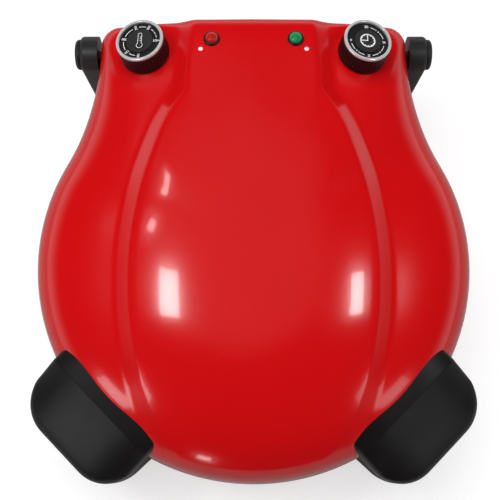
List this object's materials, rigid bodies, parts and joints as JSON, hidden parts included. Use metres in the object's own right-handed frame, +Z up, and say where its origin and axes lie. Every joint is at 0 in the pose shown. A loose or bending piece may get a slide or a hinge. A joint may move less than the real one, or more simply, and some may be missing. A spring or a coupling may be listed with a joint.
{
  "type": "electric pizza oven",
  "caption": "Round clamshell pizza oven: glossy domed lid hinged at the rear over a stone in the base, with paired front handles, two control knobs and two lamps.",
  "frame": {"origin": "on the surface that the feet stand on, under the middle of the oven's box", "axes": "+Y towards the hinge at the rear, +Z up, +X to the right seen from the front"},
  "size_m": [0.347, 0.367, 0.159],
  "materials": {
    "gloss_red": "high gloss moulded, with a soft fresnel rim",
    "bright_steel": "bright spun sheet",
    "element_steel": "dark oxidised sheath",
    "fired_stone": "opaque matt fired cordierite, speckled",
    "satin_black": "satin moulded",
    "handle_black": "satin moulded, heat resistant",
    "chrome": "mirror plated",
    "dial_black": "matt with printed white numbers",
    "dial_grey": "satin",
    "red_lens": "clear moulded lens",
    "green_lens": "clear moulded lens",
    "white_ceramic": "matt",
    "dark_resin": "moulded resin",
    "foot_rubber": "matt rubber"
  },
  "bodies": {
    "base": {"base_shell": "gloss_red", "base_pan": "bright_steel", "lower_clip_1": "bright_steel", "lower_clip_2": "bright_steel", "lower_clip_3": "bright_steel", "hinge_pin_left": "bright_steel", "hinge_pin_right": "bright_steel", "lower_element": "element_steel", "pizza_stone": "fired_stone", "rear_deck": "satin_black", "cord_gland": "satin_black", "hinge_arm_left": "satin_black", "hinge_arm_right": "satin_black", "hinge_cap_left": "satin_black", "hinge_cap_right": "satin_black", "base_handle_left": "handle_black", "base_handle_right": "handle_black", "terminal_block": "white_ceramic", "foot_front_left": "foot_rubber", "foot_front_right": "foot_rubber", "foot_rear_left": "foot_rubber", "foot_rear_right": "foot_rubber"},
    "lid": {"lid_shell": "gloss_red", "lid_reflector": "bright_steel", "upper_element": "element_steel", "upper_clip_1": "bright_steel", "upper_clip_2": "bright_steel", "upper_clip_3": "bright_steel", "control_cover": "satin_black", "lid_handle_left": "handle_black", "lid_handle_right": "handle_black", "hinge_bush_left": "bright_steel", "hinge_bush_right": "bright_steel", "thermostat_body": "dark_resin", "timer_body": "dark_resin", "power_lamp_bezel": "satin_black", "power_lamp_lens": "red_lens", "power_lamp_holder": "white_ceramic", "heat_lamp_bezel": "satin_black", "heat_lamp_lens": "green_lens", "heat_lamp_holder": "white_ceramic"},
    "thermostat_knob": {"thermostat_knob_grip": "satin_black", "thermostat_knob_ring": "chrome", "thermostat_knob_dial": "dial_black", "thermostat_knob_cap": "dial_grey", "thermostat_shaft": "bright_steel"},
    "timer_knob": {"timer_knob_grip": "satin_black", "timer_knob_ring": "chrome", "timer_knob_dial": "dial_black", "timer_knob_cap": "dial_grey", "timer_shaft": "bright_steel"}
  },
  "joints": [
    {"name": "lid_hinge", "type": "hinge", "parent": "base", "child": "lid", "pos_m": [0, 0.166, 0.105], "axis": [-1, 0, 0], "range_deg": [0, 100]},
    {"name": "thermostat_turn", "type": "hinge", "parent": "lid", "child": "thermostat_knob", "pos_m": [-0.0865, 0.152, 0.13595], "axis": [0.1715, -0.1564, -0.9727], "range_deg": [0, 270]},
    {"name": "timer_turn", "type": "hinge", "parent": "lid", "child": "timer_knob", "pos_m": [0.0865, 0.152, 0.13595], "axis": [-0.1715, -0.1564, -0.9727], "range_deg": [0, 300]}
  ]
}
